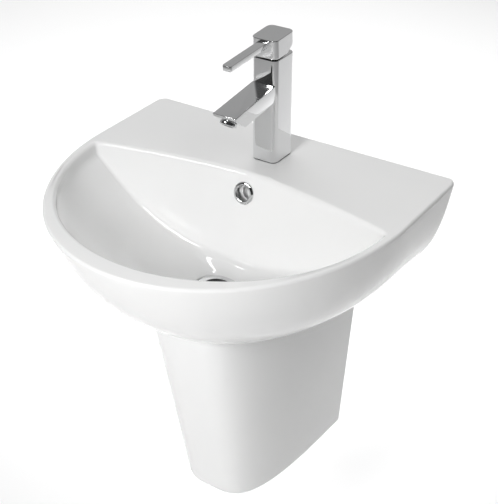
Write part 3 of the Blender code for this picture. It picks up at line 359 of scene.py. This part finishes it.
def body_ring(t, inset, height):
    """The basin's outer outline at one height, from its right back corner round the front."""
    wall_half, half, side, reach, roundness = body_plan(t)
    wall_half -= inset
    half -= inset
    reach -= inset
    right = []
    for k in range(CORNER_STEPS):
        angle = math.pi / 2 * (1 - k / CORNER_STEPS)
        right.append((wall_half - CORNER_R * (1 - math.cos(angle)), -CORNER_R * (1 - math.sin(angle))))
    for k in range(SIDE_STEPS):
        y = -CORNER_R - (side - CORNER_R) * k / SIDE_STEPS
        right.append((wall_half + (half - wall_half) * -y / side, y))
    front = []
    for k in range(FRONT_STEPS + 1):
        angle = math.pi * k / FRONT_STEPS
        across = math.copysign(abs(math.cos(angle)) ** (2 / roundness), math.cos(angle))
        front.append((half * across, -side - reach * max(math.sin(angle), 0) ** (2 / roundness)))
    left = [(-x, y) for x, y in reversed(right)]
    back = []
    for k in range(1, BACK_STEPS):
        back.append(((wall_half - CORNER_R) * (2 * k / BACK_STEPS - 1), 0.0))
    return [(x, min(y, -inset), height) for x, y in right + front + left + back]


BOWL_LEVELS = np.array((   # depth, half width, centre line and reach behind it
    (0.000, MOUTH_HALF, -0.1760, 0.0950),
    (0.017, 0.2336, -0.1765, 0.0880),
    (0.035, 0.2215, -0.1775, 0.0820),
    (0.051, 0.2080, -0.1795, 0.0770),
    (0.067, 0.1918, -0.1825, 0.0730),
    (0.083, 0.1735, -0.1870, 0.0690),
    (0.100, 0.1480, -0.1935, 0.0640),
    (0.110, 0.1285, -0.1990, 0.0600),
    (0.119, 0.1060, -0.2055, 0.0525),
    (0.127, 0.0830, -0.2115, 0.0360),
    (0.135, 0.0580, -0.2165, 0.0345),
    (0.141, 0.0390, -0.2190, 0.0341),
    (BOWL_D, DRAIN_R, DRAIN_Y, DRAIN_R),
))


def level_slopes():
    """The slope of every column at every level, chosen so that no column overshoots."""
    steps = np.diff(BOWL_LEVELS, axis=0)
    rates = steps[:, 1:] / steps[:, :1]
    before, after = rates[:-1], rates[1:]
    same_way = before * after > 0
    inner = np.where(same_way, 2 * before * after / np.where(same_way, before + after, 1), 0)
    return np.vstack([np.zeros(3), inner, rates[-1]])


LEVEL_SLOPES = level_slopes()


def bowl_level(below):
    """Half width, centre line and reach behind it at one depth, smooth from level to level."""
    below = min(below, BOWL_D)
    at = min(int(np.searchsorted(BOWL_LEVELS[:, 0], below, "right")), len(BOWL_LEVELS) - 1)
    upper, lower = BOWL_LEVELS[at - 1], BOWL_LEVELS[at]
    span = lower[0] - upper[0]
    t = (below - upper[0]) / span
    made = (1 + 2 * t) * (1 - t) ** 2 * upper[1:] + t * t * (3 - 2 * t) * lower[1:]
    made += span * t * (1 - t) ** 2 * LEVEL_SLOPES[at - 1]
    return made + span * t * t * (t - 1) * LEVEL_SLOPES[at]


def slope_y(x, below):
    """Where the bowl's back slope stands at one depth; it bows back towards the middle."""
    bow = 0.0435 * (1 - 9.33 * below)
    return -(0.1395 + 0.30 * below + bow * (np.abs(x) / 0.24) ** 1.5)


def bowl_reaches(angle, below):
    """How far the bowl's front wall and its back slope lie from the drain's line, for many angles."""
    half, centre, back = bowl_level(below)
    front = DRAIN_R + (MOUTH_FRONT - DRAIN_R) * (half - DRAIN_R) / (MOUTH_HALF - DRAIN_R)
    way_x = np.cos(angle)
    way_y = np.sin(angle)

    def in_front_bowl(r):
        y = DRAIN_Y + r * way_y - centre
        return (r * way_x / half) ** 2 + (y / np.where(y < 0, front, back)) ** 2 < 1

    def ahead_of_slope(r):
        return DRAIN_Y + r * way_y < slope_y(r * way_x, below)

    found = []
    for inside in (in_front_bowl, ahead_of_slope):
        low = np.zeros_like(angle)
        high = np.full_like(angle, 0.6)
        for _ in range(34):
            middle = (low + high) / 2
            within = inside(middle)
            low = np.where(within, middle, low)
            high = np.where(within, high, middle)
        found.append(low)
    return found


def crease_angle(below):
    """The direction from the drain's line in which the bowl's front wall meets the back slope."""
    low, high = 0.0, CREASE_LIMIT
    for _ in range(30):
        middle = (low + high) / 2
        bowl, slope = bowl_reaches(np.array([middle]), below)
        if bowl[0] < slope[0]:
            low = middle
        else:
            high = middle
    return low


def crowded(count, pull):
    """Numbers from 0 to 1 that crowd towards both ends."""
    s = np.linspace(0, 1, count)
    return s - pull * np.sin(2 * np.pi * s) / (2 * np.pi)


def bowl_ring(below, flare=0.0):
    """The bowl's outline at one depth, point for point with body_ring, pushed out by flare."""
    crease = crease_angle(below)
    before = CORNER_STEPS + SIDE_STEPS
    back_count = 2 * before + BACK_STEPS - 1
    front = crease - (math.pi + 2 * crease) * crowded(FRONT_STEPS + 1, 0.6)
    back = math.pi - crease - (math.pi - 2 * crease) * crowded(back_count + 2, 0.6)[1:-1]
    angle = np.concatenate([back[-before:], front, back[:-before]])
    bowl, slope = bowl_reaches(angle, below)
    blend = 0.010 + 0.14 * below
    near = np.maximum(blend - np.abs(bowl - slope), 0) / blend
    reach = np.minimum(bowl, slope) - near * near * blend / 4
    points = np.stack([reach * np.cos(angle), DRAIN_Y + reach * np.sin(angle)], 1)
    if flare:
        along = np.roll(points, -1, 0) - np.roll(points, 1, 0)
        along /= np.linalg.norm(along, axis=1)[:, None]
        points += np.stack([-along[:, 1], along[:, 0]], 1) * flare
    return [(x, y, depth(below)) for x, y in points]


def basin_rings():
    rings = []
    bottom = body_ring(BODY_CUT, 0.0, depth(BODY_H * BODY_CUT))
    for inset in (0.012, 0.004):
        rings.append(body_ring(BODY_CUT, inset, depth(BODY_H * BODY_CUT)))
    rings.append([(x, y, z + 0.0003) for x, y, z in bottom])
    power = 2.6
    last = math.asin(BODY_CUT ** (power / 2))
    for k in range(1, 44):
        t = math.sin(last * (1 - k / 44)) ** (2 / power)
        if t * BODY_H > RIM_R * 1.2:
            rings.append(body_ring(t, 0.0, depth(BODY_H * t)))
    for k in range(9):
        angle = math.pi / 2 * k / 8
        drop = RIM_R * (1 - math.sin(angle))
        rings.append(body_ring(drop / BODY_H, RIM_R * (1 - math.cos(angle)), depth(drop)))
    rings.append(body_ring(0.0, RIM_R + 0.0006, RIM_Z))
    rings.append(bowl_ring(0.0, EDGE_R + 0.0006))
    for k in range(9):
        lean = math.pi / 2 * k / 8
        rings.append(bowl_ring(EDGE_R * (1 - math.cos(lean)), EDGE_R * (1 - math.sin(lean))))
    first = math.asin(0.0075 / BOWL_D)
    for k in range(72):
        rings.append(bowl_ring(BOWL_D * math.sin(first + (math.pi / 2 - first) * k / 71)))
    edge = rings[-1]
    for inset, below in ((0.0004, 0.0006), (0.0010, 0.0026), (0.0012, SEAT_D - BOWL_D)):
        shrink = 1 - inset / DRAIN_R
        rings.append([(x * shrink, DRAIN_Y + (y - DRAIN_Y) * shrink, depth(BOWL_D + below))
                      for x, y, z in edge])
    return rings


def hollow(name, sign):
    """The space under the ledge on one side of the overflow duct, open below."""
    rings = []
    for below in (WALL_T + 0.002, 0.030, 0.045, 0.060, 0.080, 0.095, 0.115, 0.128, 0.140, 0.155, 0.190):
        t = min(below / BODY_H, BODY_CUT)
        wall_half, half = body_plan(t)[:2]
        outer = min(wall_half, half) - WALL_T - 0.012 * t
        inner = 0.026
        outline = [(inner, -WALL_T), (outer, -WALL_T)]
        for k in range(7):
            x = outer + (inner - outer) * k / 6
            room = float(slope_y(x, min(below, 0.120))) + WALL_T + 0.004
            outline.append((x, min(room, -WALL_T - 0.02)))
        rings.append([(sign * x, y, depth(below)) for x, y in round_outline(outline, 0.006, 3)])
    return lofted(name, rings)


def make_basin():
    shape = bmesh.new()
    loft(shape, basin_rings())
    basin = piece("glazed_basin", shape)
    for name, sign in (("right", 1), ("left", -1)):
        cut(basin, hollow("hollow_" + name, sign))
        x = sign * BOLT_X
        cut(basin, rod("bolt_hole_" + name, 0.008, (x, 0.02, 0), (x, -0.03, 0), 48))
    half = 0.0262
    low, high = (-half, -0.103, depth(0.190)), (half, -WALL_T, depth(WALL_T + 0.002))
    cut(basin, box("tap_chamber", low, high))
    duct = [(-0.130, depth(0.018)), (-0.140, depth(0.048)), (-0.163, depth(0.150)), (-0.215, depth(0.1575)),
            (-0.215, depth(0.166)), (-0.153, depth(0.164)), (-0.128, depth(0.050)), (-0.118, depth(0.018))]
    cut(basin, side_drawn("duct", duct, 0.011))
    reach = OVERFLOW_OUT * 0.02
    cut(basin, rod("overflow_hole", 0.0122, OVERFLOW_AT + reach, OVERFLOW_AT - reach))
    cut(basin, rod("waste_hole", 0.0225, (0, DRAIN_Y, depth(0.20)), (0, DRAIN_Y, depth(0.12)), 96))
    cut(basin, rod("tap_hole", TAP_HOLE_R, (0, TAP_Y, depth(0.05)), (0, TAP_Y, depth(-0.02)), 64))
    settle(basin)
    show(basin, "fixtures", "glaze", GLAZE, "basin")


make_basin()


# ---- semi-pedestal ----
def under_body(x, y):
    """Height of the basin's outer skin over one point of the plan."""
    low, high = 0.5, BODY_CUT
    for _ in range(30):
        t = (low + high) / 2
        _, half, side, reach, roundness = body_plan(t)
        if -y < side:
            level = abs(x) / half
        else:
            level = (abs(x) / half) ** roundness + ((-y - side) / reach) ** roundness
        if level < 1:
            low = t
        else:
            high = t
    return depth(BODY_H * low)


PED_STEPS = 64


def pedestal_ring(below, inset, scribed=None, behind=0.0):
    """Its outline at one depth, pulled in by inset, or set under the basin if it is scribed to it."""
    part = (below - PED_TOP_D) / (PED_BOT_D - PED_TOP_D)
    half = PED_TOP_W + (PED_BOT_W - PED_TOP_W) * part - inset
    reach = PED_TOP_Y + (PED_BOT_Y - PED_TOP_Y) * part - inset
    right = [(half, behind)] if behind else []
    for k in range(PED_STEPS + 1):
        far = math.sin(math.pi / 2 * k / PED_STEPS)
        narrow = max(1 - far ** PED_POWER, 0.0) ** (1 / PED_POWER)
        right.append((half * (1 - PED_TUCK * far) * narrow, -reach * far))
    right[-1] = (0.0, -reach)
    whole = right + [(-x, y) for x, y in reversed(right[:-1])]
    if scribed is None:
        return [(x, y, depth(below)) for x, y in whole]
    return [(x, y, under_body(x, y) - scribed) for x, y in whole]


def make_pedestal():
    rings = []
    for k in range(13):
        angle = math.pi / 2 * k / 12
        inset = PED_ROLL * (1 - math.sin(angle))
        rings.append(pedestal_ring(PED_BOT_D - PED_ROLL * (1 - math.cos(angle)), inset))
    for below in (0.470, 0.440, 0.410, 0.380, 0.350, 0.320, 0.290, 0.260, 0.230, 0.205, 0.185):
        rings.append(pedestal_ring(below, 0.0))
    for inset, scribe in ((0.0, 0.0036), (0.0003, 0.0026), (0.0010, 0.0020), (PED_WALL + 0.003, 0.0020)):
        rings.append(pedestal_ring(PED_TOP_D, inset, scribe))
    pedestal = lofted("glazed_shroud", rings)
    inner = [pedestal_ring(PED_BOT_D - PED_WALL, PED_WALL + 0.012, behind=0.02)]
    inner.append(pedestal_ring(PED_BOT_D - 0.0135, PED_WALL + 0.006, behind=0.02))
    inner.append(pedestal_ring(PED_BOT_D - 0.018, PED_WALL + 0.002, behind=0.02))
    for below in (PED_BOT_D - 0.026, 0.440, 0.380, 0.320, 0.26, 0.20, 0.10):
        inner.append(pedestal_ring(below, PED_WALL, behind=0.02))
    cut(pedestal, lofted("shroud_inside", inner))
    for name, side in (("left", -1), ("right", 1)):
        left, right = sorted((side * (PED_SCREW_X - 0.013), side * (PED_SCREW_X + 0.016)))
        low = (left, -PED_WALL, depth(PED_SCREW_D + 0.018))
        lug = box("lug_" + name, low, (right, 0.0, depth(PED_SCREW_D - 0.018)))
        bevel(lug, 0.0015)
        settle(lug)
        cut(pedestal, lug, "UNION")
        centre = (side * PED_SCREW_X, 0.02, depth(PED_SCREW_D))
        cut(pedestal, rod("screw_hole_" + name, 0.0036, centre, (centre[0], -0.03, centre[2]), 32))
    settle(pedestal)
    show(pedestal, "fixtures", "glaze", GLAZE, "semi_pedestal")


make_pedestal()


# ---- overflow ring, waste and plug ----
def make_small_chrome():
    turn = OVERFLOW_OUT.to_track_quat("Z", "Y").to_matrix()
    profile = [(0.0105, 0.0020), (0.0108, 0.0028), (0.0114, 0.0033), (0.0122, 0.0034), (0.0136, 0.0033),
               (0.0148, 0.0029), (0.0156, 0.0023), (0.0160, 0.0016), (0.0160, 0.0006), (0.0118, 0.0006),
               (0.0118, -0.0140), (0.0105, -0.0140)]
    ring = turned("overflow_trim", profile[::-1], OVERFLOW_AT, turn)
    show(ring, "fixtures", "chrome", CHROME, "overflow_ring")

    top = -BOWL_D
    under = -(SEAT_D - 0.0018)
    profile = [(0.0205, -0.1447), (0.0206, -0.1443), (0.0209, -0.1441), (0.0214, top), (0.0290, top),
               (0.0302, top - 0.0003), (0.0310, top - 0.0007), (0.0315, top - 0.0013), (0.0315, under),
               (WASTE_R, under)]
    pitch = 0.0015
    turns = int((WASTE_END + under - 0.004) / pitch)
    for k in range(turns):
        z = under - 0.003 - pitch * k
        profile += [(WASTE_R, z), (0.0200, z - pitch / 2)]
    profile += [(0.0200, -0.2115), (0.0196, -WASTE_END), (WASTE_BORE, -WASTE_END)]
    profile += [(WASTE_BORE, -PLUG_SHELF), (0.0205, -PLUG_SHELF)]
    waste = turned("waste_flange", profile[::-1], DRAIN_AT)
    for name, size in (("across", (0.03, 0.0055)), ("along", (0.0055, 0.03))):
        low = (-size[0], DRAIN_Y - size[1], depth(0.1655))
        cut(waste, box("slot_" + name, low, (size[0], DRAIN_Y + size[1], depth(0.1575))))
    settle(waste)
    show(waste, "fixtures", "chrome", CHROME, "waste_body")

    crown = 0.0178
    dome = [(0, -PLUG_TOP)]
    for k in range(1, 14):
        r = crown * k / 13
        dome.append((r, -PLUG_TOP - 0.0018 * (r / crown) ** 2.4))
    dome += [(0.0182, -0.1526), (0.0184, -0.1531), (0.0184, -0.1536)]
    dome += [(0.0181, -PLUG_UNDER), (0, -PLUG_UNDER)]
    plug = turned("plug_dome", dome, DRAIN_AT)
    # painted shade: the plug is dressed in the black rubber so that it shows as the dark of the open waste
    # hole
    show(plug, "plug", "rubber", RUBBER_AND_PLUG_SHADE, "waste_plug")


make_small_chrome()


# ---- tap ----
def make_tap_body():
    rings = []
    for height, inset in ((0.0015, 0.0005), (0.0017, 0.0002), (0.0020, 0.0), (0.0026, 0.0), (0.075, 0.0),
                          (TAP_TOP - 0.0014, 0.0), (TAP_TOP - 0.0008, 0.0), (TAP_TOP - 0.0002, 0.0003),
                          (TAP_TOP, 0.0008), (TAP_TOP, 0.0014)):
        rings.append(box_ring(TAP_HALF_W - inset, TAP_HALF_D - inset, COLUMN_R - inset, height))
    body = lofted("tap_column", rings, TAP_AT)
    tip = TAP_Y - SPOUT_REACH
    outline = [(-0.0990, 0.1170), (tip, 0.1060), (tip + 0.001, 0.1020)]
    outline += [(tip + 0.023, 0.0855), (-0.0990, 0.0940)]
    spout = side_drawn("spout", [(y, RIM_Z + z) for y, z in outline], SPOUT_HALF)
    bevel(spout, 0.0007)
    settle(spout)
    cut(body, spout, "UNION")
    cut(body, rod("chamber", 0.0176, (0, TAP_Y, depth(-0.104)), (0, TAP_Y, depth(-0.17))))
    cut(body, rod("foot", 0.0168, (0, TAP_Y, depth(0.01)), (0, TAP_Y, depth(-0.060))))
    seat_ends = AERATOR_AT + AERATOR_OUT * 0.01, AERATOR_AT - AERATOR_OUT * 0.006
    cut(body, rod("aerator_seat", 0.0092, *seat_ends))
    for name, x in (("hot", -0.0085), ("cold", 0.0085)):
        ends = (x, -0.0815, depth(-0.055)), (x, -0.0815, depth(-0.070))
        cut(body, rod("socket_" + name, 0.0053, *ends, 24))
    cut(body, rod("stud_hole", 0.0041, (0, -0.0655, depth(-0.055)), (0, -0.0655, depth(-0.075)), 24))
    settle(body)
    show(body, "fixtures", "chrome", CHROME, "tap_body")


def make_aerator():
    turn = AERATOR_OUT.to_track_quat("Z", "Y").to_matrix()
    profile = [(0.0080, -0.0055), (0.0088, -0.0055), (0.0088, 0.0003), (0.0108, 0.0003), (0.0111, 0.0006),
               (0.0112, 0.0011), (0.0112, 0.0050), (0.0110, 0.0056), (0.0106, 0.0061), (0.0099, 0.0064),
               (0.0084, 0.0064), (0.0080, 0.0060)]
    housing = turned("aerator_shell", profile, AERATOR_AT, turn)
    for k in range(12):
        angle = 2 * math.pi * (k + 0.5) / 12
        spin = turn @ Matrix.Rotation(angle, 3, "Z")
        low, high = (0.0101, -0.0011, 0.0014), (0.0125, 0.0011, 0.0050)
        cut(housing, box("notch_%d" % k, low, high, AERATOR_AT, spin))
    settle(housing)
    show(housing, "fixtures", "chrome", CHROME, "aerator_housing")


def make_bonnet():
    def arc(radius, low, steps):
        first = math.asin(low / radius)
        last = math.acos(BONNET_OPEN / radius)
        angles = [first + (last - first) * k / steps for k in range(steps + 1)]
        return [(radius * math.cos(a), PIVOT_H + radius * math.sin(a)) for a in angles]
    outer = arc(0.0140, -0.0028, 16)
    inner = arc(0.0125, -0.0036, 16)
    profile = [(inner[0][0], TAP_TOP + 0.0003), (0.0163, TAP_TOP + 0.0003), (0.0165, TAP_TOP + 0.0005),
               (0.0165, TAP_TOP + 0.0008), (0.0163, TAP_TOP + 0.0010)]
    profile += outer + inner[:0:-1]
    bonnet = turned("bonnet_dome", profile, TAP_AT)
    show(bonnet, "fixtures", "chrome", CHROME, "bonnet")


def make_handle():
    top = CAP_TOP - PIVOT_H
    bottom = -0.0015
    rings = []
    for height, inset in ((bottom, 0.0010), (bottom, 0.0005), (bottom + 0.0002, 0.0002),
                          (bottom + 0.0006, 0.0), (bottom + 0.0012, 0.0), (top - 0.0012, 0.0),
                          (top - 0.0006, 0.0), (top - 0.0002, 0.0002), (top, 0.0006), (top, 0.0012)):
        rings.append(box_ring(TAP_HALF_W - inset, TAP_HALF_D - inset, COLUMN_R, height))
    cap = lofted("handle_cap", rings, PIVOT, DROOP)
    tip, half, radius = -LEVER_REACH, 0.0070, 0.0035
    right = [(half, -0.0200)]
    for k in range(9):
        angle = math.pi / 2 * k / 8
        right.append((half - radius + radius * math.cos(angle), tip + radius - radius * math.sin(angle)))
    plan = right + [(-x, y) for x, y in reversed(right)]
    lever_top = top - 0.0030
    faces = [[(x, y, z) for x, y in plan] for z in (lever_top - 0.0075, lever_top)]
    lever = lofted("lever", faces, PIVOT, DROOP)
    bevel(lever, 0.0006)
    settle(lever)
    cut(cap, lever, "UNION")
    wedge = [(0.0035, bottom - 0.0004), (0.0300, 0.0145), (0.0300, -0.0100), (0.0035, -0.0100)]
    heel = side_drawn("heel", wedge, 0.03)
    heel.data.transform(Matrix.Translation(PIVOT) @ DROOP.to_4x4())
    cut(cap, heel)
    shape = bmesh.new()
    bmesh.ops.create_uvsphere(shape, u_segments=64, v_segments=32, radius=0.0150)
    cut(cap, piece("cap_hollow", shape, PIVOT, DROOP))
    size = 0.0043
    cut(cap, box("socket", (-size, -size, 0.0), (size, size, 0.0218), PIVOT, DROOP))
    for name, reach, start in (("screw_way", 0.0026, 0.0), ("indicator_seat", 0.0037, 0.0220)):
        ends = [PIVOT + DROOP @ Vector((0, y, 0.0178)) for y in (start, 0.0300)]
        cut(cap, rod(name, reach, *ends, 48))
    settle(cap)
    show(cap, "handle", "chrome", CHROME, "tap_handle")


make_tap_body()
make_aerator()
make_bonnet()
make_handle()


# ---- carried-over CAD nodes ----
def dress_cad_nodes():
    slots = {part["node"]: part["material_slot"] for part in frame["record"]["subparts"]}
    for name, node in frame["nodes"].items():
        if node.hide_render:
            continue
        slot = slots[name]
        node.data.materials.clear()
        node.data.materials.append(INDICATOR if slot == "indicator" else BASE_OF[slot])


dress_cad_nodes()


# ---- floor, light and camera ----
def make_stage():
    made = bpy.data.materials.new("pale_floor")
    made.use_nodes = True
    nodes = made.node_tree.nodes
    shader = nodes["Principled BSDF"]
    shader.inputs["Roughness"].default_value = 0.9
    noise = nodes.new("ShaderNodeTexNoise")
    noise.inputs["Scale"].default_value = 3.0
    tint = nodes.new("ShaderNodeValToRGB")
    tint.color_ramp.elements[0].color = (0.88, 0.88, 0.88, 1)
    tint.color_ramp.elements[1].color = (0.92, 0.92, 0.92, 1)
    made.node_tree.links.new(noise.outputs["Fac"], tint.inputs["Fac"])
    made.node_tree.links.new(tint.outputs["Color"], shader.inputs["Base Color"])
    shape = bmesh.new()
    bmesh.ops.create_grid(shape, x_segments=4, y_segments=4, size=9.0)
    floor = piece("floor", shape, (0, 0, FLOOR_Z))
    floor.data.materials.append(made)


def soft_box(name, at, aim, size, power, role="shade"):
    """An area light that either lights the pieces ("shade") or is only mirrored in them ("highlight")."""
    light = bpy.data.lights.new(name, "AREA")
    light.shape = "RECTANGLE"
    light.size, light.size_y = size
    light.energy = power
    lamp = bpy.data.objects.new(name, light)
    bpy.context.scene.collection.objects.link(lamp)
    lamp.location = at
    lamp.rotation_euler = (Vector(aim) - Vector(at)).to_track_quat("-Z", "Y").to_euler()
    lamp.visible_glossy = role == "highlight"
    lamp.visible_diffuse = role == "shade"
    lamp.visible_camera = False


def make_light():
    world = bpy.data.worlds.new("studio")
    bpy.context.scene.world = world
    world.use_nodes = True
    nodes = world.node_tree.nodes
    links = world.node_tree.links
    where = nodes.new("ShaderNodeTexCoord")
    side = nodes.new("ShaderNodeVectorMath")
    side.operation = "DOT_PRODUCT"
    side.inputs[1].default_value = (-0.55, 0.80, 0.0)
    links.new(where.outputs["Generated"], side.inputs[0])
    ramp = nodes.new("ShaderNodeMapRange")
    ramp.interpolation_type = "SMOOTHSTEP"
    ramp.inputs["From Min"].default_value = -0.55
    ramp.inputs["From Max"].default_value = 0.80
    ramp.inputs["To Min"].default_value = 0.04
    ramp.inputs["To Max"].default_value = 0.385
    links.new(side.outputs["Value"], ramp.inputs["Value"])
    links.new(ramp.outputs["Result"], nodes["Background"].inputs["Color"])
    nodes["Background"].inputs["Strength"].default_value = 1.0
    middle = (0, -0.2, 0.05)
    soft_box("front_key", (0.1, -2.0, 1.1), middle, (0.5, 0.5), 32)
    soft_box("right_fill", (1.3, -0.3, 1.7), middle, (1.3, 1.3), 6.5)
    soft_box("low_fill", (0.4, -1.7, 0.0), middle, (1.0, 1.0), 4.6)
    soft_box("back_light", (-0.9, 1.5, 1.6), (-0.9, 1.5, 0.0), (2.4, 2.4), 30)
    soft_box("backdrop", (-1.5, 1.78, -0.1), (-1.5, 1.78, -1.0), (3.8, 3.4), 26)
    soft_box("backdrop_near", (-0.72, 0.62, -0.25), (-0.72, 0.62, -1.0), (1.6, 1.1), 3.2)
    soft_box("right_card", (0.85, 1.15, -0.72), (0.0, -0.1, 0.2), (1.3, 1.3), 1.5, "highlight")
    soft_box("glow_strip", (-0.54, -2.03, 1.55), (-0.13, -0.18, -0.02), (1.3, 0.3), 30, "highlight")


make_stage()
make_light()

scene = bpy.context.scene
scene.view_settings.view_transform = "Standard"
camera = bpy.data.objects.new("camera", bpy.data.cameras.new("camera"))
scene.collection.objects.link(camera)
camera.location = (0.77362, -1.31402, 0.83350)
aim = Vector((0.0, -0.13587, -0.04078))
camera.rotation_euler = (aim - camera.location).to_track_quat("-Z", "Y").to_euler()
camera.data.sensor_width = 36.0
camera.data.lens = 82.482857
camera.data.clip_start = 0.05
camera.data.clip_end = 40.0
scene.camera = camera
